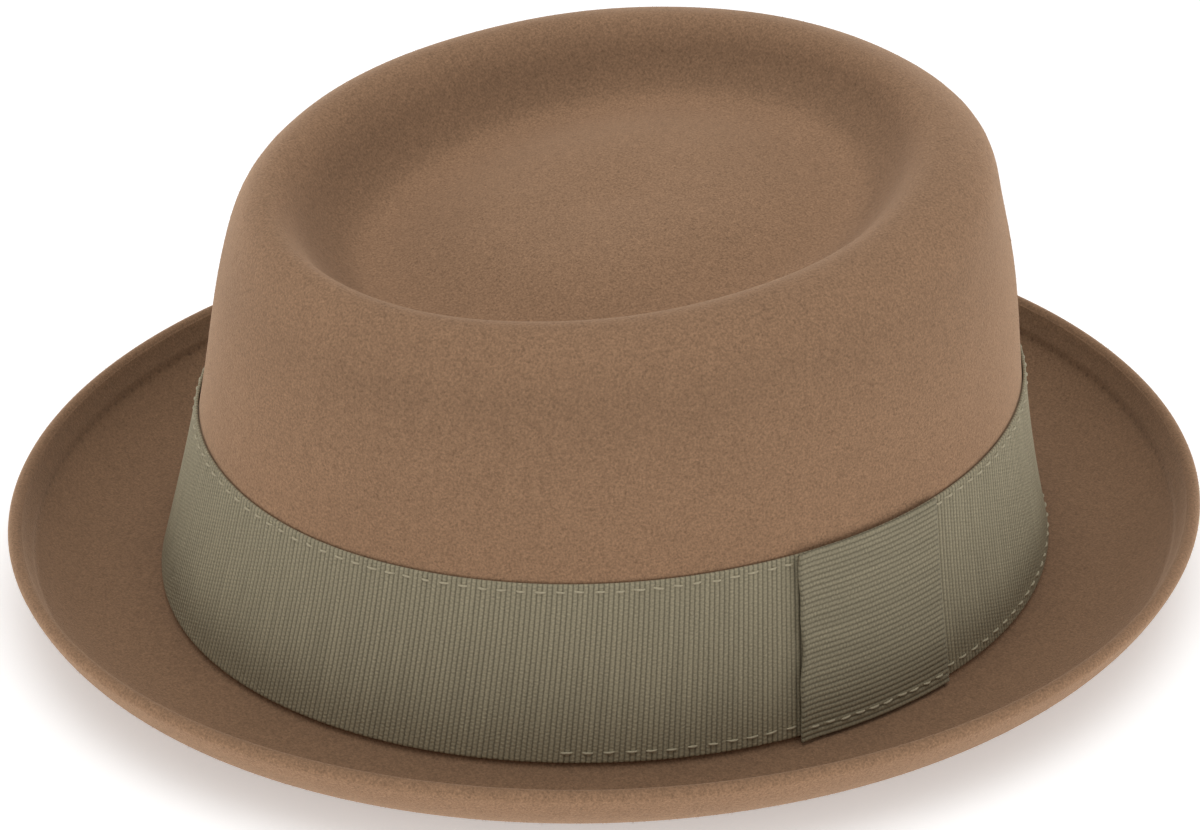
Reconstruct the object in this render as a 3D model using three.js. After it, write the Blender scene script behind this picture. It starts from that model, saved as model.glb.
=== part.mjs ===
// Pork pie hat: a felt crown with a telescope dent in its tip and a short brim turned up all round,
// a wide grosgrain ribbon round the foot of the crown, and a flat ribbon tab over the ribbon's join.
// Millimetres, +Z up. The front of the hat faces -Y and the wearer's left is +X.
// The origin lies on the surface that the hat rests on, below the middle of the crown.
import * as THREE from 'three';

// Steps round the hat, and how much wider its ovals are towards the back of the head
const ROUND_STEPS = 60;
const BACK_WIDENING = 0.02;

// Felt: the wall of the crown and brim, and the round break between them
const FELT_WALL = 2.2;
const BREAK_RADIUS = 1.8;
const BREAK_STEPS = 3;

// Brim: length along the felt from the crown, the flat ring it rests on, the curl to its edge,
// and how much further it reaches at the front and back than at the sides
const BRIM_LENGTH = 37.7;
const BRIM_FLAT = 7;
const BRIM_EDGE_ANGLE = THREE.MathUtils.degToRad(70.2);
const BRIM_CURL_POWER = 1.23;
const BRIM_END_STRETCH = 1.058;
const BRIM_STEPS = 8;
const EDGE_STEPS = 4;

// Hem: a strip folded onto the brim's upper face along the edge
const HEM_WIDTH = 6.6;
const HEM_RISE = 0.7;
const HEM_STEP = 0.5;

// Ribbon: thickness, width up the crown, how it widens towards the back, lower edge, and clearance
const RIBBON_WALL = 1.0;
const RIBBON_WIDTH = 41.9;
const RIBBON_BACK_WIDENING = 0.032;
const RIBBON_FOOT = 3.4;
const RIBBON_CLEARANCE = 0.4;
const RIBBON_ROWS = 4;

// Tab: width round the crown, angle from the wearer's left, edges past the ribbon's, and clearance
const TAB_WIDTH = 40;
const TAB_ANGLE = THREE.MathUtils.degToRad(6.7);
const TAB_UNDER_FOOT = 0.8;
const TAB_OVER_TOP = 0.5;
const TAB_CLEARANCE = 0.3;
const TAB_COLUMNS = 8;

// Colours and finish
const FELT_COLOUR = 0x8d6f57;
const RIBBON_COLOUR = 0x716956;
const CLOTH_ROUGHNESS = 0.95;

// Crown sections from the middle of the tip to the foot, on the outside of the felt. Each is an oval:
// half its width and length, how far its centre lies behind the hat's, its height there, its rise
// per millimetre towards the back, and the rings made between it and the section before it.
const COLUMNS = ['name', 'halfWidth', 'halfLength', 'centreY', 'height', 'slope', 'rings'];
const CROWN = [
  ['tip', 0, 0, 0, 87.2, 0.14, 0],
  ['floor', 30, 34, -0.5, 86.2, 0.14, 2],
  ['groove', 50.5, 57.5, -1.3, 83.9, 0.139, 3],
  ['dent_wall', 58, 66.2, -2.4, 90.8, 0.115, 3],
  ['crest', 66, 72.5, -3.2, 97.6, 0.089, 4],
  ['shoulder', 76.6, 81.8, -0.9, 93.5, 0.08, 3],
  ['upper_side', 80.7, 85.3, -0.9, 84.7, 0.088, 2],
  ['side', 83.6, 89.3, -0.2, 66.9, 0.07, 2],
  ['ribbon_top', 85.8, 92.4, 0.3, 44.9, 0.02, 2],
  ['foot', 91.3, 102, 0, FELT_WALL + BREAK_RADIUS, 0, 3],
].map((row) => Object.fromEntries(row.map((value, i) => [COLUMNS[i], value])));
const SHAPE_COLUMNS = COLUMNS.slice(1, -1);
const FOOT = CROWN[CROWN.length - 1];

// Natural cubic spline through values at rising positions, as a function of the position
function smoothCurve(positions, values) {
  const last = positions.length - 1;
  const bend = new Array(last + 1).fill(0);
  const carry = new Array(last + 1).fill(0);
  for (let i = 1; i < last; i++) {
    const before = positions[i] - positions[i - 1];
    const after = positions[i + 1] - positions[i];
    const turn = (values[i + 1] - values[i]) / after - (values[i] - values[i - 1]) / before;
    const pivot = 2 * (before + after) - before * carry[i - 1];
    carry[i] = after / pivot;
    bend[i] = (6 * turn - before * bend[i - 1]) / pivot;
  }
  for (let i = last - 1; i > 0; i--) bend[i] -= carry[i] * bend[i + 1];
  return (position) => {
    let i = 0;
    while (i < last - 1 && position > positions[i + 1]) i++;
    const span = positions[i + 1] - positions[i];
    const right = (position - positions[i]) / span;
    const left = 1 - right;
    const sag = ((left ** 3 - left) * bend[i] + (right ** 3 - right) * bend[i + 1]) * span * span / 6;
    return left * values[i] + right * values[i + 1] + sag;
  };
}

// The sections' stations: distances along one profile of the mean half axis and the height
const stations = [0];
for (let i = 1; i < CROWN.length; i++) {
  const [upper, lower] = [CROWN[i - 1], CROWN[i]];
  const out = (lower.halfWidth + lower.halfLength - upper.halfWidth - upper.halfLength) / 2;
  stations.push(stations[i - 1] + Math.hypot(out, lower.height - upper.height));
}
const FOOT_STATION = stations[stations.length - 1];
const shapeCurves = SHAPE_COLUMNS.map((column) => smoothCurve(stations, CROWN.map((row) => row[column])));

function crownSection(station) {
  return Object.fromEntries(SHAPE_COLUMNS.map((column, i) => [column, shapeCurves[i](station)]));
}

function ovalPoint(section, angle) {
  const x = section.halfWidth * Math.cos(angle) * (1 + BACK_WIDENING * Math.sin(angle));
  const y = section.centreY + section.halfLength * Math.sin(angle);
  return new THREE.Vector3(x, y, section.height + section.slope * y);
}

// A point on the crown's outside, lifted off the felt along the outward direction there
function crownPoint(station, angle, lift) {
  const near = 0.05;
  const at = (s, a) => ovalPoint(crownSection(s), a);
  const down = at(station + near, angle).sub(at(station - near, angle));
  const around = at(station, angle + near).sub(at(station, angle - near));
  return at(station, angle).addScaledVector(down.cross(around).normalize(), lift);
}

// The station that lies a given distance up the felt from the crown's foot at an angle; a distance
// below the foot runs straight on into the break
function stationUp(distance, angle) {
  const stride = 0.5;
  let station = FOOT_STATION - Math.min(0, distance);
  let point = ovalPoint(crownSection(station), angle);
  let climbed = 0;
  while (climbed < distance) {
    const next = ovalPoint(crownSection(station - stride), angle);
    const length = next.distanceTo(point);
    const share = Math.min(1, (distance - climbed) / length);
    climbed += length * share;
    station -= stride * share;
    point = next;
  }
  return station;
}

// A section outside the crown's foot, by its reach from the foot and its height
function brimSection(reach, height) {
  const halfLength = FOOT.halfLength + reach * BRIM_END_STRETCH;
  return { ...FOOT, halfWidth: FOOT.halfWidth + reach, halfLength, height };
}

// A closed surface from rows of points, joined into quads; round rows join their last point to the first
class Skin {
  points = [];
  faces = [];

  addRow(row) {
    const start = this.points.length;
    this.points.push(...row);
    return row.map((_, i) => start + i);
  }

  joinRows(first, second, round) {
    const count = round ? first.length : first.length - 1;
    for (let i = 0; i < count; i++) {
      const j = (i + 1) % first.length;
      this.faces.push(first[i], second[i], second[j], first[i], second[j], first[j]);
    }
  }

  closeTo(point, row, outward) {
    const [centre] = this.addRow([point]);
    row.forEach((vertex, i) => {
      const next = row[(i + 1) % row.length];
      this.faces.push(...(outward ? [centre, vertex, next] : [centre, next, vertex]));
    });
  }

  geometry() {
    const geometry = new THREE.BufferGeometry();
    const numbers = this.points.flatMap((point) => [point.x, point.y, point.z]);
    geometry.setAttribute('position', new THREE.Float32BufferAttribute(numbers, 3));
    geometry.setIndex(this.faces);
    geometry.computeVertexNormals();
    return geometry;
  }
}

function roundAngles() {
  return Array.from({ length: ROUND_STEPS }, (_, i) => (i / ROUND_STEPS) * 2 * Math.PI);
}

// Stations of the crown's rings, from beside the tip down to the foot
function ringStations() {
  const list = [];
  for (let row = 1; row < CROWN.length; row++) {
    for (let ring = 1; ring <= CROWN[row].rings; ring++) {
      list.push(THREE.MathUtils.lerp(stations[row - 1], stations[row], ring / CROWN[row].rings));
    }
  }
  return list;
}

// The quarter-round break between crown and brim, on a given radius about its centre
function breakSections(radius) {
  return Array.from({ length: BREAK_STEPS }, (_, i) => {
    const turn = ((i + 1) / BREAK_STEPS) * Math.PI / 2;
    return brimSection(BREAK_RADIUS - radius * Math.cos(turn), FOOT.height - radius * Math.sin(turn));
  });
}

// Places along the middle of the brim's felt: reach, height, angle, and length left to the edge
function brimPlaces() {
  const curl = BRIM_LENGTH - BRIM_FLAT;
  const angleAt = (length) => BRIM_EDGE_ANGLE * (Math.max(0, length - BRIM_FLAT) / curl) ** BRIM_CURL_POWER;
  const lengths = [BRIM_LENGTH - HEM_WIDTH, BRIM_LENGTH - HEM_WIDTH + HEM_STEP];
  for (let i = 0; i <= BRIM_STEPS; i++) lengths.push(BRIM_FLAT + curl * (i / BRIM_STEPS));
  lengths.sort((a, b) => a - b);
  const stride = 0.05;
  let walked = 0;
  let reach = 0;
  let height = FELT_WALL / 2;
  return lengths.map((length) => {
    for (; walked < length - stride / 2; walked += stride) {
      const angle = angleAt(walked + stride / 2);
      reach += Math.cos(angle) * stride;
      height += Math.sin(angle) * stride;
    }
    return { reach, height, angle: angleAt(length), left: BRIM_LENGTH - length };
  });
}

// A section of the brim, lifted off the middle of its felt towards the upper face, and pushed out along it
function liftedSection(place, lift, push = 0) {
  const reach = place.reach - Math.sin(place.angle) * lift + Math.cos(place.angle) * push;
  const height = place.height + Math.cos(place.angle) * lift + Math.sin(place.angle) * push;
  return brimSection(reach, height);
}

// The felt's surface runs from the tip down the outside of the crown, along the brim's upper face,
// round its edge and back along the underside and the inside of the crown
function feltBody() {
  const angles = roundAngles();
  const crownRing = (station, lift) => angles.map((angle) => crownPoint(station, angle, lift));
  const brimRing = (section) => angles.map((angle) => ovalPoint(section, angle));
  const crown = ringStations();
  const brim = brimPlaces();
  const edge = brim[brim.length - 1];
  const edgeRadius = (FELT_WALL + HEM_RISE) / 2;

  const upper = brim.map((place) => {
    const onHem = place.left < HEM_WIDTH - HEM_STEP / 2;
    return liftedSection(place, FELT_WALL / 2 + (onHem ? HEM_RISE : 0));
  });
  const round = [];
  for (let i = 1; i < EDGE_STEPS; i++) {
    const turn = Math.PI / 2 - (i / EDGE_STEPS) * Math.PI;
    const lift = HEM_RISE / 2 + edgeRadius * Math.sin(turn);
    round.push(liftedSection(edge, lift, edgeRadius * Math.cos(turn)));
  }
  const smooth = brim.filter((place) => Math.abs(place.left - HEM_WIDTH) > HEM_STEP / 2);
  const under = smooth.map((place) => liftedSection(place, -FELT_WALL / 2)).reverse();
  const outerBreak = breakSections(BREAK_RADIUS);
  const innerBreak = breakSections(BREAK_RADIUS + FELT_WALL).reverse();

  const rows = [
    ...crown.map((station) => crownRing(station, 0)),
    ...[...outerBreak, ...upper, ...round, ...under, ...innerBreak].map(brimRing),
    ...crown.reverse().map((station) => crownRing(station, -FELT_WALL)),
  ];
  const skin = new Skin();
  const rings = rows.map((row) => skin.addRow(row));
  for (let i = 1; i < rings.length; i++) skin.joinRows(rings[i - 1], rings[i], true);
  const tip = ovalPoint(CROWN[0], 0);
  skin.closeTo(tip, rings[0], true);
  skin.closeTo(tip.clone().setZ(tip.z - FELT_WALL), rings[rings.length - 1], false);
  return skin.geometry();
}

// A strip of ribbon on the crown, past the ribbon's lower and upper edges by the given lengths:
// rows down its front face, then up its back face
function ribbonRows(angles, underFoot, overTop, clearance) {
  const rows = [];
  const low = RIBBON_FOOT - FOOT.height - underFoot;
  const faces = [[clearance + RIBBON_WALL, 1, 0], [clearance, 0, 1]];
  for (const [lift, from, to] of faces) {
    for (let i = 0; i <= RIBBON_ROWS; i++) {
      const share = THREE.MathUtils.lerp(from, to, i / RIBBON_ROWS);
      rows.push(angles.map((angle) => {
        const backward = FOOT.halfLength * Math.sin(angle);
        const width = RIBBON_WIDTH + RIBBON_BACK_WIDENING * backward + underFoot + overTop;
        return crownPoint(stationUp(low + width * share, angle), angle, lift);
      }));
    }
  }
  return rows;
}

function ribbonBand() {
  const skin = new Skin();
  const rings = ribbonRows(roundAngles(), 0, 0, RIBBON_CLEARANCE).map((row) => skin.addRow(row));
  rings.forEach((ring, i) => skin.joinRows(ring, rings[(i + 1) % rings.length], true));
  return skin.geometry();
}

function bandTab() {
  const halfTurn = TAB_WIDTH / 2 / FOOT.halfLength;
  const angles = [];
  for (let i = 0; i <= TAB_COLUMNS; i++) {
    angles.push(TAB_ANGLE + THREE.MathUtils.lerp(-halfTurn, halfTurn, i / TAB_COLUMNS));
  }
  const clearance = RIBBON_CLEARANCE + RIBBON_WALL + TAB_CLEARANCE;
  const skin = new Skin();
  const rows = ribbonRows(angles, TAB_UNDER_FOOT, TAB_OVER_TOP, clearance).map((row) => skin.addRow(row));
  rows.forEach((row, i) => skin.joinRows(row, rows[(i + 1) % rows.length], false));
  const back = [...rows].reverse();
  for (let i = 0; i < RIBBON_ROWS; i++) {
    const front = rows[i][0];
    const end = rows[i][TAB_COLUMNS];
    skin.faces.push(front, back[i][0], back[i + 1][0], front, back[i + 1][0], rows[i + 1][0]);
    skin.faces.push(end, rows[i + 1][TAB_COLUMNS], back[i + 1][TAB_COLUMNS]);
    skin.faces.push(end, back[i + 1][TAB_COLUMNS], back[i][TAB_COLUMNS]);
  }
  return skin.geometry();
}

function piece(name, geometry, color) {
  const material = new THREE.MeshStandardMaterial({ color, roughness: CLOTH_ROUGHNESS, metalness: 0 });
  const mesh = new THREE.Mesh(geometry, material);
  mesh.name = name;
  return mesh;
}

const hat = new THREE.Group();
hat.add(piece('felt_body', feltBody(), FELT_COLOUR));
hat.add(piece('ribbon_band', ribbonBand(), RIBBON_COLOUR));
hat.add(piece('band_tab', bandTab(), RIBBON_COLOUR));

export default hat;
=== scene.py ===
import math

import bpy
import numpy as np
from mathutils import Matrix, Vector


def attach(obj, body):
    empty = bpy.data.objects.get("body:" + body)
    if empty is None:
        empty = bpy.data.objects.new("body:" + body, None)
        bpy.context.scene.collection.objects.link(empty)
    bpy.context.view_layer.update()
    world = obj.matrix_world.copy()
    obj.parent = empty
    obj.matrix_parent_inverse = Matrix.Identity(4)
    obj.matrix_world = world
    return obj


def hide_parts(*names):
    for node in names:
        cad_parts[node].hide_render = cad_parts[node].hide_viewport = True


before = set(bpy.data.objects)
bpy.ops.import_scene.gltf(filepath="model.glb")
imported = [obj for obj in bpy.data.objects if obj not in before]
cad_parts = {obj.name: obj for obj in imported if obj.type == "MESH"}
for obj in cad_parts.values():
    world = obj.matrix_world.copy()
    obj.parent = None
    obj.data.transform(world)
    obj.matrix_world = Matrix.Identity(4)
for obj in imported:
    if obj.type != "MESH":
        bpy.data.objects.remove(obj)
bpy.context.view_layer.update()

MM = 0.001
RANDOM_SEED = 7

# Felt: the wall, the round break between crown and brim, and the steps of its mesh
FELT_WALL = 2.2
BREAK_RADIUS = 1.8
BACK_WIDENING = 0.02
ROUND_STEPS = 330
CROWN_STEP = 1.8
INSIDE_STEP = 3.6
BREAK_STEPS = 5

# Brim: length along the felt, flat ring, curl to the edge, longer reach at the front and back
BRIM_LENGTH = 37.7
BRIM_FLAT = 7
BRIM_EDGE_ANGLE = math.radians(70.2)
BRIM_CURL_POWER = 1.23
BRIM_END_STRETCH = 1.058
BRIM_STEPS = 34
EDGE_STEPS = 10

# Hem: a folded strip along the edge, its step, the sewn groove beside the step, and the painted shade of
# its needle holes
HEM_WIDTH = 6.6
HEM_RISE = 0.7
HEM_STEP = 3.6
HEM_GROOVE_DEPTH = 0.16
HEM_GROOVE_WIDTH = 1.2
HEM_HOLES = 216
HEM_HOLE_RADIUS = 0.45
HEM_HOLE_PAINTED_SHADE = 0.72

# Ribbon: thickness, width up the crown, widening towards the back, lower edge, clearance, ribs
RIBBON_WALL = 0.8
RIBBON_WIDTH = 41.9
RIBBON_BACK_WIDENING = 0.032
RIBBON_FOOT = 3.4
RIBBON_CLEARANCE = 0.2
RIBBON_ROWS = 16
RIBBON_BACK_ROWS = 4
RIB_PITCH = 1.09
RIB_COLUMNS = 6
RIB_DEPTH = 0.2
RIB_ROUNDNESS = 0.7
BEAD_PITCH = 0.9

# Tab: width round the crown, angle from the wearer's left, edges past the ribbon's, ribs and the scale of
# their painted shade, loose left edge
TAB_WIDTH = 40
TAB_ANGLE = math.radians(6.7)
TAB_UNDER_FOOT = 0.8
TAB_OVER_TOP = 0.5
TAB_CLEARANCE = 0.3
TAB_COLUMNS = 30
TAB_RIB_PITCH = 1.17
TAB_RIB_SHADE_SCALE = 0.72
TAB_EDGE_LIFT = 0.7
TAB_EDGE_REACH = 5
TAB_EDGE_WAVE = 0.3

# Stitches: pitch, length, thickness, how proud they stand, and their lines from the ribbon's edges
STITCH_PITCH = 4.2
STITCH_LENGTH = 2.7
STITCH_RADIUS = 0.29
STITCH_PROUD = 0.16
STITCH_END_SHARE = 0.6
STITCH_BELOW_TOP = 1.7
STITCH_ABOVE_FOOT = 2.4
STITCH_JITTER = 0.12
STITCH_FROM_TAB = 1.5
TAB_STITCH_RISE = 0.4
FOOT_STITCHES_FROM = math.radians(-34)
FOOT_STITCHES_TO = math.radians(100)
PUCKER_DEPTH = 0.12
PUCKER_REACH = 1.4

# Soft unevenness of the felt, in millimetres, and where it has its full depth down from the tip
SWELL_DEPTH = 0.25
SWELL_FROM = 25

# Crown sections from the middle of the tip to the foot, on the outside of the felt: half width and
# half length of an oval, its centre's place towards the back, its height there, its rise to the back
CROWN = {
    "tip": (0, 0, 0, 87.2, 0.14),
    "floor": (30, 34, -0.5, 86.2, 0.14),
    "groove": (50.5, 57.5, -1.3, 83.9, 0.139),
    "dent_wall": (58, 66.2, -2.4, 90.8, 0.115),
    "crest": (66, 72.5, -3.2, 97.6, 0.089),
    "shoulder": (76.6, 81.8, -0.9, 93.5, 0.08),
    "upper_side": (80.7, 85.3, -0.9, 84.7, 0.088),
    "side": (83.6, 89.3, -0.2, 66.9, 0.07),
    "ribbon_top": (85.8, 92.4, 0.3, 44.9, 0.02),
    "foot": (91.3, 102, 0, FELT_WALL + BREAK_RADIUS, 0),
}
SECTIONS = np.array(list(CROWN.values()), float)
FOOT_HALF_WIDTH, FOOT_HALF_LENGTH, _, FOOT_HEIGHT, _ = CROWN["foot"]

# Painted shading of the felt, painted shade in the dent and inside the brim and painted light on the
# dent's floor, the crown's front and the brim's edge: at distances down the crown from its sections, and
# at shares of the brim's length from the crown's foot to the edge
CROWN_PAINTED_SHADING = [
    ("tip", 0, 1.05),
    ("groove", -3, 1.06),
    ("groove", 2.5, 0.83),
    ("dent_wall", 0, 0.77),
    ("crest", 0, 0.97),
    ("shoulder", 0, 0.95),
    ("upper_side", 0, 0.88),
    ("side", 0, 1.01),
    ("ribbon_top", 0, 1.08),
]
BRIM_PAINTED_SHADING = {0.0: 0.77, 0.3: 0.81, 0.7: 0.75, 0.84: 0.66, 0.96: 0.68, 1.0: 0.76}
# painted light on the brim's rolled edge, painted shade on its underside, and how far from the edge the
# one turns into the other
EDGE_PAINTED_LIGHT = 1.05
UNDERSIDE_PAINTED_SHADE = 0.94
EDGE_PAINTED_LIGHT_REACH = 6

# Loose fibres on the felt: number, lengths, how steeply they rise, radius, sunk root, foot's corners
NAP_COUNT = 24000
NAP_LENGTHS = (0.4, 1.0)
NAP_RISES = (0.25, 0.8)
NAP_RADIUS = 0.036
NAP_ROOT = 0.1
NAP_TURNS = (0, 2.1, 4.2)

# Camera: place round the hat, height, roll, distance, and the point that it looks at
CAMERA_AZIMUTH = math.radians(58.5)
CAMERA_ELEVATION = math.radians(29.474)
CAMERA_ROLL = math.radians(1.27)
CAMERA_DISTANCE = 922.8
CAMERA_ASIDE = -2.206
CAMERA_HEIGHT = 33.15
CAMERA_LENS = 123.9
CAMERA_SENSOR = 36

# Colours, in linear light, with the glow of the floor and the strength of the light all round
FELT_COLOUR = (0.286, 0.169, 0.0985)
RIBBON_COLOUR = (0.285, 0.249, 0.166)
STITCH_COLOUR = (0.40, 0.35, 0.24)
NAP_COLOUR = (0.36, 0.215, 0.128)
FLOOR_COLOUR = (0.9, 0.9, 0.9)
FLOOR_GLOW = 0.35
WORLD_STRENGTH = 0.45

# Features of the materials, by their size
FELT_GRAIN = 0.5
FELT_SPECKS = 0.8
FELT_STREAKS = 1.6
FELT_CLUMPS = 2.4
FELT_CLOUDS = 28
FELT_STREAK_PATCHES = 34
RIBBON_CLOUDS = 30
FIBRE_SIZE = 0.35

# Soft lights: degrees round from the camera, elevation, width and height in metres, power in watts
LIGHT_DISTANCE = 1.6
LIGHTS = [
    ("top_softbox", 0, 88, 1.6, 1.6, 13),
    ("left_softbox", -65, 7, 1.6, 0.5, 6.3),
    ("right_softbox", 65, 7, 1.6, 0.5, 7),
    ("back_softbox", 180, 7, 1.6, 0.5, 6),
]


# Crown surface

def smooth_curve(positions, values):
    """Natural cubic spline through rows of values, as a function of an array of positions."""
    spans = np.diff(positions)
    last = len(positions) - 1
    matrix = np.eye(last + 1)
    turns = np.zeros_like(values)
    for i in range(1, last):
        matrix[i, i - 1:i + 2] = spans[i - 1], 2 * (spans[i - 1] + spans[i]), spans[i]
        after = (values[i + 1] - values[i]) / spans[i]
        before = (values[i] - values[i - 1]) / spans[i - 1]
        turns[i] = 6 * (after - before)
    bends = np.linalg.solve(matrix, turns)

    def curve(wanted):
        wanted = np.asarray(wanted, float)
        i = np.clip(np.searchsorted(positions, wanted, side="right") - 1, 0, last - 1)
        span = spans[i][..., None]
        right = (wanted - positions[i])[..., None] / span
        left = 1 - right
        sag = ((left**3 - left) * bends[i] + (right**3 - right) * bends[i + 1]) * span**2 / 6
        return left * values[i] + right * values[i + 1] + sag

    return curve


mean_half_axis = SECTIONS[:, :2].mean(axis=1)
lengths = np.hypot(np.diff(mean_half_axis), np.diff(SECTIONS[:, 3]))
STATIONS = np.concatenate([[0], np.cumsum(lengths)])
FOOT_STATION = STATIONS[-1]
crown_section = smooth_curve(STATIONS, SECTIONS)


def oval(section, angle):
    half_width, half_length, centre, height, slope = np.moveaxis(np.asarray(section, float), -1, 0)
    x = half_width * np.cos(angle) * (1 + BACK_WIDENING * np.sin(angle))
    y = centre + half_length * np.sin(angle)
    return np.stack(np.broadcast_arrays(x, y, height + slope * y), axis=-1)


def swell(station, angle):
    """Soft unevenness of hand-blocked felt: waves round the crown that drift on their way down."""
    rise = np.sin(2 * angle + station / 31) * np.cos(station / 23 + 1.3)
    rise = rise + 0.7 * np.sin(5 * angle - station / 17 + 0.8)
    rise = rise + 0.5 * np.sin(9 * angle + station / 13 + 2.1)
    return SWELL_DEPTH * rise / 2.2 * np.clip(station / SWELL_FROM, 0, 1) ** 2


def crown_point(station, angle, lift=0.0):
    """A point on the crown's outside, lifted off the felt along the outward direction there."""
    near = 0.05
    station, angle, lift = np.broadcast_arrays(station, angle, lift)
    here = oval(crown_section(station), angle)
    down = oval(crown_section(station + near), angle) - oval(crown_section(station - near), angle)
    around = oval(crown_section(station), angle + near) - oval(crown_section(station), angle - near)
    out = np.cross(down, around)
    out /= np.linalg.norm(out, axis=-1, keepdims=True)
    return here + out * (lift + swell(station, angle))[..., None]


def station_up(distance, angle):
    """Stations that lie given distances up the felt from the crown's foot, at each angle."""
    below, stride, reach = 3, 0.25, 60
    steps = np.arange(FOOT_STATION + below, FOOT_STATION - reach, -stride)
    points = oval(crown_section(steps)[:, None], np.asarray(angle)[None])
    climbed = np.cumsum(np.linalg.norm(np.diff(points, axis=0), axis=-1), axis=0)
    climbed = np.concatenate([np.zeros((1, climbed.shape[1])), climbed])
    foot = int(round(below / stride))
    distance = np.broadcast_to(distance, (len(distance), len(angle)))
    found = np.empty(distance.shape)
    climbed = climbed - climbed[foot]
    for column in range(len(angle)):
        found[:, column] = np.interp(distance[:, column], climbed[:, column], steps)
    return found


# Meshes

def make_piece(name, points, faces, material, attributes=None):
    """A smooth mesh piece that rides on the hat, from points in millimetres."""
    mesh = bpy.data.meshes.new(name)
    mesh.from_pydata((np.asarray(points) * MM).tolist(), [], faces)
    mesh.polygons.foreach_set("use_smooth", np.ones(len(mesh.polygons), bool))
    for attribute, values in (attributes or {}).items():
        layer = mesh.attributes.new(attribute, "FLOAT", "POINT")
        layer.data.foreach_set("value", np.asarray(values, np.float32).ravel())
    mesh.validate()
    mesh.update()
    piece = bpy.data.objects.new(name, mesh)
    bpy.context.scene.collection.objects.link(piece)
    mesh.materials.append(material)
    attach(piece, "root")
    return piece


def grid_faces(rows, columns, round_rows, round_columns, start=0):
    """Quads of a grid of points, numbered row by row."""
    faces = []
    for r in range(rows if round_rows else rows - 1):
        below = (r + 1) % rows
        for c in range(columns if round_columns else columns - 1):
            beside = (c + 1) % columns
            faces.append((
                start + r * columns + c,
                start + below * columns + c,
                start + below * columns + beside,
                start + r * columns + beside,
            ))
    return faces


def even_steps(start, end, step):
    return np.linspace(start, end, max(2, int(round(abs(end - start) / step)) + 1))


# Felt body

def brim_section(reach, height):
    """Ovals outside the crown's foot, by their reach from the foot and their height."""
    zero = np.zeros_like(reach)
    half_width = FOOT_HALF_WIDTH + reach
    half_length = FOOT_HALF_LENGTH + reach * BRIM_END_STRETCH
    return np.stack([half_width, half_length, zero, height, zero], -1)


def brim_profile():
    """Length, reach, height and angle of places along the middle of the brim's felt."""
    stride = 0.05
    length = np.arange(0, BRIM_LENGTH + stride / 2, stride)
    share = np.clip((length - BRIM_FLAT) / (BRIM_LENGTH - BRIM_FLAT), 0, 1)
    angle = BRIM_EDGE_ANGLE * share**BRIM_CURL_POWER
    reach = np.concatenate([[0], np.cumsum(np.cos(angle[1:]) * stride)])
    height = FELT_WALL / 2 + np.concatenate([[0], np.cumsum(np.sin(angle[1:]) * stride)])
    return length, reach, height, angle


BRIM_PROFILE = brim_profile()


def brim_lifted(length, lift, push=0.0):
    """Sections of the brim, lifted off the middle of its felt and pushed out along it."""
    reach, height, angle = (np.interp(length, BRIM_PROFILE[0], column) for column in BRIM_PROFILE[1:])
    out = reach - np.sin(angle) * lift + np.cos(angle) * push
    up = height + np.cos(angle) * lift + np.sin(angle) * push
    return brim_section(out, up)


def hem_lift(length):
    """Height of the brim's upper face over its felt: the hem's step, and the sewn groove before it."""
    from_line = length - (BRIM_LENGTH - HEM_WIDTH)
    share = np.clip(from_line / HEM_STEP + 0.5, 0, 1)
    groove = HEM_GROOVE_DEPTH * np.exp(-(from_line / HEM_GROOVE_WIDTH) ** 2)
    return HEM_RISE * share**2 * (3 - 2 * share) - groove


def painted_shading_tones(outer_stations, upper_lengths, edge_count, under_lengths):
    """Painted shade and painted light of the felt's rows from the tip down the crown, out over the brim
    and back under it.
    """
    names = list(CROWN)
    tone_stations = [STATIONS[names.index(name)] + further for name, further, _ in CROWN_PAINTED_SHADING]
    crown_tones = [tone for _, _, tone in CROWN_PAINTED_SHADING]
    from_edge = BRIM_LENGTH - under_lengths
    return np.concatenate([
        np.interp(outer_stations, tone_stations, crown_tones),
        np.full(BREAK_STEPS, BRIM_PAINTED_SHADING[0.0]),
        np.interp(upper_lengths / BRIM_LENGTH, list(BRIM_PAINTED_SHADING), list(BRIM_PAINTED_SHADING.values())),
        np.linspace(BRIM_PAINTED_SHADING[1.0], EDGE_PAINTED_LIGHT, edge_count),
        np.interp(from_edge, [0, EDGE_PAINTED_LIGHT_REACH], [EDGE_PAINTED_LIGHT, UNDERSIDE_PAINTED_SHADE]),
    ])


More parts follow.
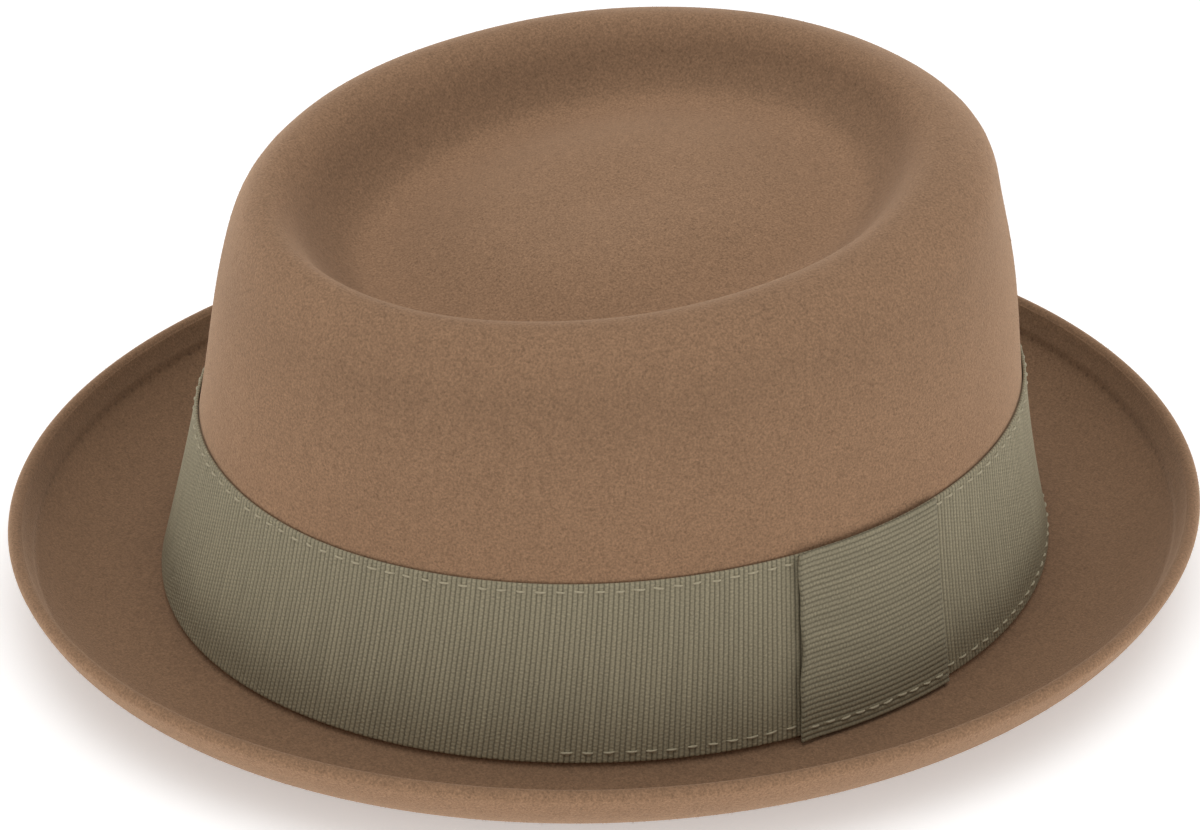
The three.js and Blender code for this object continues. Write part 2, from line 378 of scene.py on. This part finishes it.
def felt_body(material):
    """Crown and brim as one closed skin of felt. Returns the rows of points that loose fibres stand on."""
    angles = np.arange(ROUND_STEPS) / ROUND_STEPS * 2 * np.pi
    outer_stations = even_steps(CROWN_STEP, FOOT_STATION, CROWN_STEP)
    inner_stations = even_steps(FOOT_STATION, INSIDE_STEP, INSIDE_STEP)
    turns = np.arange(1, BREAK_STEPS + 1) / BREAK_STEPS * np.pi / 2

    hem_line = BRIM_LENGTH - HEM_WIDTH
    coarse = np.linspace(BRIM_FLAT, BRIM_LENGTH, BRIM_STEPS)
    fine = even_steps(hem_line - 2 * HEM_STEP, hem_line + 2 * HEM_STEP, HEM_GROOVE_WIDTH / 3)
    away = np.abs(coarse - hem_line) > 2 * HEM_STEP + HEM_GROOVE_WIDTH
    upper_lengths = np.sort(np.concatenate([coarse[away], fine]))

    def break_sections(radius, turns):
        return brim_section(BREAK_RADIUS - radius * np.cos(turns), FOOT_HEIGHT - radius * np.sin(turns))

    edge_radius = (FELT_WALL + HEM_RISE) / 2
    edge_turns = np.pi / 2 - np.arange(1, EDGE_STEPS) / EDGE_STEPS * np.pi
    edge_lift = HEM_RISE / 2 + edge_radius * np.sin(edge_turns)
    edge_push = edge_radius * np.cos(edge_turns)
    edge = brim_lifted(np.full(len(edge_turns), BRIM_LENGTH), edge_lift, edge_push)
    sections = np.concatenate([
        break_sections(BREAK_RADIUS, turns),
        brim_lifted(upper_lengths, FELT_WALL / 2 + hem_lift(upper_lengths)),
        edge,
        brim_lifted(coarse[::-1], -FELT_WALL / 2),
        break_sections(BREAK_RADIUS + FELT_WALL, turns[::-1]),
    ])
    rows = np.concatenate([
        crown_point(outer_stations[:, None], angles[None]),
        oval(sections[:, None], angles[None]),
        crown_point(inner_stations[:, None], angles[None], -FELT_WALL),
    ])

    first_upper = len(outer_stations) + BREAK_STEPS
    upper = slice(first_upper, first_upper + len(upper_lengths))
    far = 2 * BRIM_LENGTH
    from_hem = np.full(len(rows), far)
    from_hem[upper] = upper_lengths - hem_line
    # painted shade and painted light of each row, which the felt's colour is multiplied by
    outside_painted_shading = painted_shading_tones(outer_stations, upper_lengths, len(edge), coarse[::-1])
    tone = np.full(len(rows), UNDERSIDE_PAINTED_SHADE)
    tone[:len(outside_painted_shading)] = outside_painted_shading

    tip = oval(SECTIONS[0], 0.0)
    points = np.concatenate([rows.reshape(-1, 3), [tip, tip - [0, 0, FELT_WALL]]])
    faces = grid_faces(len(rows), ROUND_STEPS, False, True)
    outside, inside = len(points) - 2, len(points) - 1
    last_row = (len(rows) - 1) * ROUND_STEPS
    for c in range(ROUND_STEPS):
        beside = (c + 1) % ROUND_STEPS
        faces.append((outside, c, beside))
        faces.append((inside, last_row + beside, last_row + c))
    values = {
        "from_hem": np.concatenate([np.repeat(from_hem, ROUND_STEPS), [far, far]]),
        "painted_shading_tone": np.concatenate([np.repeat(tone, ROUND_STEPS), [1.0, 1.0]]),
    }
    piece = make_piece("felt_hat", points, faces, material, values)
    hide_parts("felt_body")

    above_ribbon = outer_stations < STATIONS[list(CROWN).index("ribbon_top")]
    brim_rows = slice(len(outer_stations), len(outer_stations) + len(sections))
    return [rows[:len(outer_stations)][above_ribbon], rows[brim_rows]]


def felt_nap(parts, material, random):
    """Short loose fibres on rows of points of the felt, each one a thin spike."""
    corner = np.concatenate([rows[:-1].reshape(-1, 3) for rows in parts])
    below = np.concatenate([rows[1:].reshape(-1, 3) for rows in parts]) - corner
    beside = np.concatenate([np.roll(rows, -1, axis=1)[:-1].reshape(-1, 3) for rows in parts]) - corner
    out = np.cross(below, beside)
    area = np.linalg.norm(out, axis=1)
    cell = random.choice(len(area), NAP_COUNT, p=area / area.sum())
    out = out[cell] / area[cell, None]

    shares = random.random((2, NAP_COUNT, 1))
    root = corner[cell] + shares[0] * below[cell] + shares[1] * beside[cell] - NAP_ROOT * out
    aside = np.cross(out, random.normal(0, 1, (NAP_COUNT, 3)))
    aside /= np.linalg.norm(aside, axis=1, keepdims=True)
    rise = random.uniform(*NAP_RISES, (NAP_COUNT, 1))
    along = rise * out + np.sqrt(1 - rise**2) * np.cross(aside, out)
    third = np.cross(along, aside)
    tip = root + along * random.uniform(*NAP_LENGTHS, (NAP_COUNT, 1))
    foot = []
    for turn in NAP_TURNS:
        foot.append(root + NAP_RADIUS * (math.cos(turn) * aside + math.sin(turn) * third))
    above_floor = tip[:, 2] > 0
    points = np.stack([*foot, tip], axis=1)[above_floor].reshape(-1, 3)
    faces = []
    corners = len(NAP_TURNS) + 1
    for first in range(0, len(points), corners):
        a, b, c, top = range(first, first + corners)
        faces += [(a, b, top), (b, c, top), (c, a, top), (c, b, a)]
    make_piece("felt_nap", points, faces, material)


# Ribbon and tab

def ribbon_width(angle):
    return RIBBON_WIDTH + RIBBON_BACK_WIDENING * FOOT_HALF_LENGTH * np.sin(angle)


def ribbon_round():
    """Angles round the crown from the middle of the tab, and the length of ribbon up to each of them."""
    samples = 1441
    angle = TAB_ANGLE + np.linspace(0, 2 * np.pi, samples)
    middle = station_up(np.array([[RIBBON_WIDTH / 2]]), angle)
    ring = crown_point(middle[0], angle, RIBBON_CLEARANCE + RIBBON_WALL)
    along = np.concatenate([[0], np.cumsum(np.linalg.norm(np.diff(ring, axis=0), axis=1))])
    return angle, along


round_angles, round_lengths = ribbon_round()
round_length = round_lengths[-1]


def ribbon_angles(count):
    """Angles of even steps round the ribbon, from the middle of the tab."""
    steps = np.arange(count) / count * round_length
    return np.interp(steps, round_lengths, round_angles)


def rib_profile(phase):
    return np.abs(np.sin(np.pi * phase)) ** RIB_ROUNDNESS


def pucker(from_line, along):
    """How far a row of stitches draws the ribbon in, by the distance from the row and along it."""
    beside = np.exp(-(from_line / PUCKER_REACH) ** 2)
    between = (1 + np.cos(2 * np.pi * along / STITCH_PITCH)) / 2
    return PUCKER_DEPTH * beside * between


def ribbon_band(material):
    """Ribbon round the foot of the crown: a closed loop with upright ribs and rounded edges."""
    ribs = int(round(round_length / RIB_PITCH))
    columns = ribs * RIB_COLUMNS
    angles = ribbon_angles(columns)
    along = np.arange(columns) / columns * round_length
    width = ribbon_width(angles)
    low = RIBBON_FOOT - FOOT_HEIGHT

    half = RIBBON_WALL / 2
    front = (1 + np.cos(np.linspace(0, np.pi, RIBBON_ROWS))) / 2
    edge_turns = np.radians([45, 0, -45])
    up, lift = [], []
    for share in front:
        up.append(low + half + (width - RIBBON_WALL) * share)
        lift.append(RIBBON_CLEARANCE + RIBBON_WALL)
    for turn in edge_turns:
        up.append(low + half - half * np.cos(turn) + 0 * width)
        lift.append(RIBBON_CLEARANCE + half + half * np.sin(turn))
    for share in np.linspace(0, 1, RIBBON_BACK_ROWS):
        up.append(low + half + (width - RIBBON_WALL) * share)
        lift.append(RIBBON_CLEARANCE)
    for turn in -edge_turns:
        up.append(low + width - half + half * np.cos(turn))
        lift.append(RIBBON_CLEARANCE + half + half * np.sin(turn))
    up = np.array(up)
    lift = np.broadcast_to(np.array(lift)[:, None], up.shape).copy()

    rib = np.broadcast_to(rib_profile(np.arange(columns) / RIB_COLUMNS), up.shape)
    outer = np.clip((lift - RIBBON_CLEARANCE) / RIBBON_WALL, 0, 1)
    draw = pucker(low + width - up - STITCH_BELOW_TOP, along)
    lift += outer * (RIB_DEPTH * (rib - 1) - draw)
    points = crown_point(station_up(up, angles), angles[None], lift)
    faces = grid_faces(len(points), columns, True, True)
    number = np.broadcast_to(np.arange(columns) / RIB_COLUMNS, up.shape)
    values = {"rib_height": rib, "rib_across": number, "rib_along": up}
    piece = make_piece("ribbon", points.reshape(-1, 3), faces, material, values)
    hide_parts("ribbon_band")


def tab_edges():
    half_turn = TAB_WIDTH / 2 / FOOT_HALF_LENGTH
    return TAB_ANGLE - half_turn, TAB_ANGLE + half_turn


def tab_height(angle):
    return ribbon_width(angle) + TAB_UNDER_FOOT + TAB_OVER_TOP


def band_tab(material):
    """Tab over the join of the ribbon, with level ribs and a loose, wavy left edge."""
    left, right = tab_edges()
    share = np.linspace(0, 1, TAB_COLUMNS)
    low = RIBBON_FOOT - FOOT_HEIGHT - TAB_UNDER_FOOT
    height = float(tab_height(TAB_ANGLE))
    ribs = int(round(height / TAB_RIB_PITCH))
    phase = np.arange(ribs * RIB_COLUMNS + 1) / RIB_COLUMNS
    up_share = phase / ribs
    fold = RIBBON_WALL / 2

    wave = np.sin(up_share * 9) + 0.6 * np.sin(up_share * 21 + 1)
    base = RIBBON_CLEARANCE + RIBBON_WALL + TAB_CLEARANCE
    from_end = np.minimum(up_share, 1 - up_share) * height
    thinnest = 0.02
    round_off = np.sqrt(1 - (1 - np.clip(from_end / fold, thinnest, 1)) ** 2)
    rib = rib_profile(phase)

    across = share * TAB_WIDTH
    near_edge = np.clip(1 - across / TAB_EDGE_REACH, 0, 1)
    loose = TAB_EDGE_LIFT * near_edge**2
    rows = []
    for r, up in enumerate(up_share):
        shift = TAB_EDGE_WAVE * wave[r] * near_edge / FOOT_HALF_LENGTH
        angle = left + (right - left) * share - shift
        distance = low + tab_height(angle) * up
        station = station_up(distance[None], angle)[0]
        middle = base + fold + loose
        half = fold * round_off[r]
        front = crown_point(station, angle, middle + half + RIB_DEPTH * (rib[r] - 1))
        back = crown_point(station, angle, middle - half)
        rows.append(np.concatenate([front, back[::-1]]))
    rows = np.array(rows)
    loop = 2 * TAB_COLUMNS
    faces = [face[::-1] for face in grid_faces(len(rows), loop, False, True)]
    top = (len(rows) - 1) * loop
    for c in range(TAB_COLUMNS - 1):
        faces.append((c, c + 1, loop - 2 - c, loop - 1 - c)[::-1])
        faces.append((top + c, top + c + 1, top + loop - 2 - c, top + loop - 1 - c))
    along = np.concatenate([across, across[::-1]])
    shape = rows.shape[:2]
    values = {
        # the tab's rib heights scaled down, which darkens the tab's painted rib shade
        "rib_height": np.broadcast_to(TAB_RIB_SHADE_SCALE * rib[:, None], shape),
        "rib_across": np.broadcast_to(phase[:, None], shape),
        "rib_along": np.broadcast_to(along, shape),
    }
    piece = make_piece("ribbon_tab", rows.reshape(-1, 3), faces, material, values)
    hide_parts("band_tab")


# Stitches

def stitch_mesh(start, end, out):
    """One bowed stitch: rings of points round a line whose ends dive into the cloth."""
    rings, sides = 7, 6
    along = (end - start) / np.linalg.norm(end - start)
    aside = np.cross(out, along)
    points = []
    for ring in range(rings):
        share = ring / (rings - 1)
        bow = math.sin(math.pi * share)
        rise = (STITCH_PROUD + STITCH_RADIUS) * bow**0.5 - STITCH_RADIUS
        centre = start + (end - start) * share + out * rise
        thick = STITCH_RADIUS * (STITCH_END_SHARE + (1 - STITCH_END_SHARE) * bow)
        for side in range(sides):
            turn = 2 * math.pi * side / sides
            points.append(centre + thick * (math.cos(turn) * aside + math.sin(turn) * out))
    faces = [face[::-1] for face in grid_faces(rings, sides, False, True)]
    faces.append(tuple(range(sides)))
    faces.append(tuple(range((rings - 1) * sides, rings * sides))[::-1])
    return np.array(points), faces


def stitch_row(name, places, material):
    """A piece of stitches from pairs of end points with the outward direction between them."""
    all_points, all_faces, count = [], [], 0
    for start, end, out in places:
        points, faces = stitch_mesh(start, end, out)
        all_faces += [tuple(count + i for i in face) for face in faces]
        all_points.append(points)
        count += len(points)
    make_piece(name, np.concatenate(all_points), all_faces, material)


def crown_stitches(angles, up, lift, random):
    """Ends of stitches along a line at a height up the crown, as (start, end, outward)."""
    step = STITCH_LENGTH / 2 / FOOT_HALF_LENGTH
    places = []
    for angle, height in zip(angles, up):
        ends = np.array([angle - step, angle + step]) + random.normal(0, STITCH_JITTER * step, 2)
        heights = height + random.normal(0, STITCH_JITTER, 2)
        station = station_up(np.array([heights]), ends)[0]
        low = crown_point(station, ends, lift)
        high = crown_point(station, ends, lift + 1)
        out = (high - low).mean(axis=0)
        places.append((low[0], low[1], out / np.linalg.norm(out)))
    return places


def band_stitches(material, random):
    """Stitches along both edges of the ribbon and along the foot of the tab."""
    angles = ribbon_angles(int(round(round_length / STITCH_PITCH)))
    face = RIBBON_CLEARANCE + RIBBON_WALL
    left, right = tab_edges()
    turn = (angles + np.pi) % (2 * np.pi) - np.pi
    clear = STITCH_FROM_TAB / FOOT_HALF_LENGTH
    on_band = (turn < left - clear) | (turn > right + clear)
    low = RIBBON_FOOT - FOOT_HEIGHT

    top = turn[on_band]
    top_up = low + ribbon_width(top) - STITCH_BELOW_TOP
    places = crown_stitches(top, top_up, face - PUCKER_DEPTH, random)
    stitch_row("ribbon_top_stitches", places, material)

    sewn = on_band & (turn > FOOT_STITCHES_FROM) & (turn < FOOT_STITCHES_TO)
    foot = turn[sewn]
    places = crown_stitches(foot, np.full(len(foot), low + STITCH_ABOVE_FOOT), face, random)
    stitch_row("ribbon_foot_stitches", places, material)

    on_tab = turn[(turn > left + clear) & (turn < right - clear)]
    on_tab = np.linspace(left + 2 * clear, right - 2 * clear, len(on_tab) + 1)
    up = np.full(len(on_tab), low - TAB_UNDER_FOOT + STITCH_ABOVE_FOOT + TAB_STITCH_RISE)
    places = crown_stitches(on_tab, up, face + TAB_CLEARANCE + RIBBON_WALL, random)
    stitch_row("tab_stitches", places, material)


# Materials

class Nodes:
    """Short calls for the nodes of one material."""

    def __init__(self, name):
        self.material = bpy.data.materials.new(name)
        self.material.use_nodes = True
        self.tree = self.material.node_tree
        self.shader = self.tree.nodes["Principled BSDF"]

    def add(self, kind, inputs=None, **settings):
        node = self.tree.nodes.new(kind)
        for key, value in settings.items():
            setattr(node, key, value)
        for key, value in (inputs or {}).items():
            self.put(node.inputs[key], value)
        return node

    def put(self, socket, value):
        if isinstance(value, bpy.types.NodeSocket):
            self.tree.links.new(value, socket)
        else:
            socket.default_value = value

    def math(self, operation, a, b=0.0):
        return self.add("ShaderNodeMath", {0: a, 1: b}, operation=operation).outputs[0]

    def map(self, value, low, high, to_low, to_high):
        """The value's range from low to high, brought to the range from to_low to to_high."""
        inputs = {"Value": value, "From Min": low, "From Max": high, "To Min": to_low, "To Max": to_high}
        return self.add("ShaderNodeMapRange", inputs).outputs["Result"]

    def place(self):
        return self.add("ShaderNodeTexCoord").outputs["Object"]

    def noise(self, vector, size, detail=2.0, roughness=0.5):
        """Noise with features of a size in millimetres, on a place in metres."""
        inputs = {"Vector": vector, "Scale": 1 / (size * MM), "Detail": detail, "Roughness": roughness}
        return self.add("ShaderNodeTexNoise", inputs).outputs["Fac"]

    def stretched(self, vector, scale):
        return self.add("ShaderNodeMapping", {"Vector": vector, "Scale": scale}).outputs["Vector"]

    def attribute(self, name):
        return self.add("ShaderNodeAttribute", attribute_name=name).outputs["Fac"]

    def scaled_colour(self, colour, factor):
        """The colour times a varying factor."""
        inputs = {0: colour, "Scale": factor}
        return self.add("ShaderNodeVectorMath", inputs, operation="SCALE").outputs["Vector"]

    def bump(self, height, distance, strength=1.0, normal=None):
        inputs = {"Height": height, "Distance": distance * MM, "Strength": strength}
        if normal is not None:
            inputs["Normal"] = normal
        return self.add("ShaderNodeBump", inputs).outputs["Normal"]

    def finish(self, **values):
        for key, value in values.items():
            self.put(self.shader.inputs[key.replace("_", " ")], value)
        return self.material


def felt_material():
    """Tan felt with grain, specks, clumps, clouds and upright streaks, painted shade in the needle holes
    of the hem, and painted shade and light by rows.
    """
    n = Nodes("wool_felt")
    place = n.place()
    grain = n.noise(place, FELT_GRAIN, 3.0, 0.7)
    specks = n.noise(place, FELT_SPECKS, 2.0, 0.6)
    clumps = n.noise(place, FELT_CLUMPS, 3.0, 0.6)
    cloud = n.noise(place, FELT_CLOUDS, 3.0, 0.5)
    streaks = n.noise(n.stretched(place, (1.0, 1.0, 0.09)), FELT_STREAKS, 3.0, 0.6)
    streaky = n.map(n.noise(place, FELT_STREAK_PATCHES, 1.0), 0.5, 0.62, 0.0, 1.0)

    grain_tone = n.map(grain, 0.25, 0.75, 0.59, 1.41)
    speck_tone = n.map(specks, 0.28, 0.42, 0.82, 1.0)
    clump_tone = n.map(clumps, 0.3, 0.7, 0.96, 1.04)
    cloud_tone = n.map(cloud, 0.3, 0.7, 0.97, 1.03)
    streak_tone = n.math("MULTIPLY", n.map(streaks, 0.3, 0.7, -0.05, 0.05), streaky)
    tone = n.math("MULTIPLY", grain_tone, n.math("MULTIPLY", clump_tone, cloud_tone))
    tone = n.math("ADD", n.math("MULTIPLY", tone, speck_tone), streak_tone)

    split = n.add("ShaderNodeSeparateXYZ", {0: place})
    x = n.math("DIVIDE", split.outputs["X"], FOOT_HALF_WIDTH + BRIM_LENGTH)
    y = n.math("DIVIDE", split.outputs["Y"], FOOT_HALF_LENGTH + BRIM_LENGTH)
    turn = n.math("MULTIPLY", n.math("ARCTAN2", y, x), HEM_HOLES / (2 * math.pi))
    pitch = 2 * math.pi * (FOOT_HALF_LENGTH + BRIM_LENGTH / 2) / HEM_HOLES
    along = n.math("MULTIPLY", n.math("SUBTRACT", n.math("FRACT", turn), 0.5), pitch)
    across = n.attribute("from_hem")
    along_square = n.math("MULTIPLY", along, along)
    across_square = n.math("MULTIPLY", across, across)
    away = n.math("SQRT", n.math("ADD", along_square, across_square))
    # painted shade of the hem's needle holes: dark dots round the brim with no hole in the mesh
    hole = n.map(away, HEM_HOLE_RADIUS * 0.5, HEM_HOLE_RADIUS * 1.5, HEM_HOLE_PAINTED_SHADE, 1.0)
    # the felt's colour times the painted shade and painted light of its rows
    tone = n.math("MULTIPLY", n.math("MULTIPLY", tone, hole), n.attribute("painted_shading_tone"))

    normal = n.bump(clumps, 0.25, 0.35)
    normal = n.bump(grain, 0.18, 0.7, normal)
    return n.finish(
        Base_Color=n.scaled_colour(FELT_COLOUR, tone),
        Roughness=0.95,
        Specular_IOR_Level=0.12,
        Sheen_Weight=0.65,
        Sheen_Roughness=0.4,
        Sheen_Tint=(0.80, 0.56, 0.39, 1.0),
        Normal=normal,
    )


def ribbon_material():
    """Khaki grosgrain with painted shade between its ribs, with the beads of its weave and uneven threads.
    """
    n = Nodes("grosgrain")
    place = n.place()
    rib = n.attribute("rib_height")
    across = n.attribute("rib_across")
    along = n.attribute("rib_along")
    weave_place = n.add("ShaderNodeCombineXYZ", {"X": across, "Y": along}).outputs["Vector"]
    thread = n.noise(n.stretched(weave_place, (0.002, 0.0026, 1.0)), 1.0, 2.0, 0.6)
    rib_tone = n.noise(n.stretched(weave_place, (0.001, 0.00004, 1.0)), 1.1, 1.0, 0.5)
    cloud = n.noise(place, RIBBON_CLOUDS, 2.0, 0.5)
    stagger = n.math("MULTIPLY", n.math("FLOOR", across), 0.5)
    turns = n.math("ADD", n.math("DIVIDE", along, BEAD_PITCH), stagger)
    bead = n.math("COSINE", n.math("MULTIPLY", turns, 2 * math.pi))

    # painted shade between the ribs, darker where the rib's height is low
    tone = n.map(rib, 0.0, 0.85, 0.54, 1.09)
    tone = n.math("MULTIPLY", tone, n.map(bead, -1.0, 1.0, 0.94, 1.06))
    tone = n.math("MULTIPLY", tone, n.map(thread, 0.25, 0.75, 0.77, 1.23))
    tone = n.math("MULTIPLY", tone, n.map(rib_tone, 0.25, 0.75, 0.92, 1.08))
    tone = n.math("MULTIPLY", tone, n.map(cloud, 0.3, 0.7, 0.97, 1.03))
    normal = n.bump(thread, 0.12, 0.8)
    normal = n.bump(bead, 0.045, 0.5, normal)
    return n.finish(
        Base_Color=n.scaled_colour(RIBBON_COLOUR, tone),
        Roughness=0.8,
        Specular_IOR_Level=0.2,
        Sheen_Weight=0.12,
        Sheen_Roughness=0.4,
        Sheen_Tint=(0.8, 0.75, 0.6, 1.0),
        Normal=normal,
    )


def thread_material(name, colour):
    """Spun thread or wool fibre of one colour, finely uneven."""
    n = Nodes(name)
    fibre = n.noise(n.place(), FIBRE_SIZE, 2.0, 0.6)
    return n.finish(
        Base_Color=n.scaled_colour(colour, n.map(fibre, 0.25, 0.75, 0.85, 1.15)),
        Roughness=0.7,
        Specular_IOR_Level=0.3,
        Normal=n.bump(fibre, 0.05, 0.8),
    )


# Stage

def view_directions(azimuth, elevation):
    """Unit vectors to the right, up and towards a camera at that place round the hat."""
    level = math.cos(elevation)
    back = Vector((math.sin(azimuth) * level, -math.cos(azimuth) * level, math.sin(elevation)))
    right = Vector((math.cos(azimuth), math.sin(azimuth), 0))
    return right, back.cross(right), back


def make_camera():
    right, up, back = view_directions(CAMERA_AZIMUTH, CAMERA_ELEVATION)
    target = right * CAMERA_ASIDE + Vector((0, 0, CAMERA_HEIGHT))
    cos, sin = math.cos(CAMERA_ROLL), math.sin(CAMERA_ROLL)
    turned_right = right * cos + up * sin
    turned_up = up * cos - right * sin
    data = bpy.data.cameras.new("camera")
    data.lens = CAMERA_LENS
    data.sensor_width = CAMERA_SENSOR
    data.sensor_fit = "HORIZONTAL"
    data.clip_start = 0.05
    data.clip_end = 50
    camera = bpy.data.objects.new("camera", data)
    matrix = Matrix((turned_right, turned_up, back)).transposed().to_4x4()
    matrix.translation = (target + back * CAMERA_DISTANCE) * MM
    camera.matrix_world = matrix
    bpy.context.scene.collection.objects.link(camera)
    bpy.context.scene.camera = camera


def make_light(name, azimuth, elevation, width, height, power):
    """A soft light that faces the hat from a place round it."""
    right, up, back = view_directions(azimuth, elevation)
    data = bpy.data.lights.new(name, "AREA")
    data.shape = "RECTANGLE"
    data.size = width
    data.size_y = height
    data.energy = power
    light = bpy.data.objects.new(name, data)
    matrix = Matrix((right, up, back)).transposed().to_4x4()
    matrix.translation = back * LIGHT_DISTANCE
    light.matrix_world = matrix
    bpy.context.scene.collection.objects.link(light)


def make_stage():
    """Floor, even light all round, and soft lights."""
    floor_size = 6
    floor_drop = 0.0001
    mesh = bpy.data.meshes.new("floor")
    corners = [(-1, -1), (1, -1), (1, 1), (-1, 1)]
    points = [(x * floor_size, y * floor_size, -floor_drop) for x, y in corners]
    mesh.from_pydata(points, [], [(0, 1, 2, 3)])
    n = Nodes("floor")
    mesh.materials.append(n.finish(
        Base_Color=(*FLOOR_COLOUR, 1.0),
        Roughness=1.0,
        Specular_IOR_Level=0.0,
        Emission_Color=(1.0, 1.0, 1.0, 1.0),
        Emission_Strength=FLOOR_GLOW,
    ))
    floor = bpy.data.objects.new("floor", mesh)
    bpy.context.scene.collection.objects.link(floor)

    world = bpy.data.worlds.new("studio")
    world.use_nodes = True
    background = world.node_tree.nodes["Background"]
    background.inputs["Color"].default_value = (1, 1, 1, 1)
    background.inputs["Strength"].default_value = WORLD_STRENGTH
    bpy.context.scene.world = world
    bpy.context.scene.view_settings.view_transform = "Standard"

    for name, aside, elevation, width, height, power in LIGHTS:
        azimuth = CAMERA_AZIMUTH + math.radians(aside)
        make_light(name, azimuth, math.radians(elevation), width, height, power)


# Assembly

random = np.random.default_rng(RANDOM_SEED)
grosgrain = ribbon_material()
stitch_thread = thread_material("stitch_thread", STITCH_COLOUR)
felt_rows = felt_body(felt_material())
ribbon_band(grosgrain)
band_tab(grosgrain)
band_stitches(stitch_thread, random)
felt_nap(felt_rows, thread_material("felt_fibre", NAP_COLOUR), random)
make_stage()
make_camera()
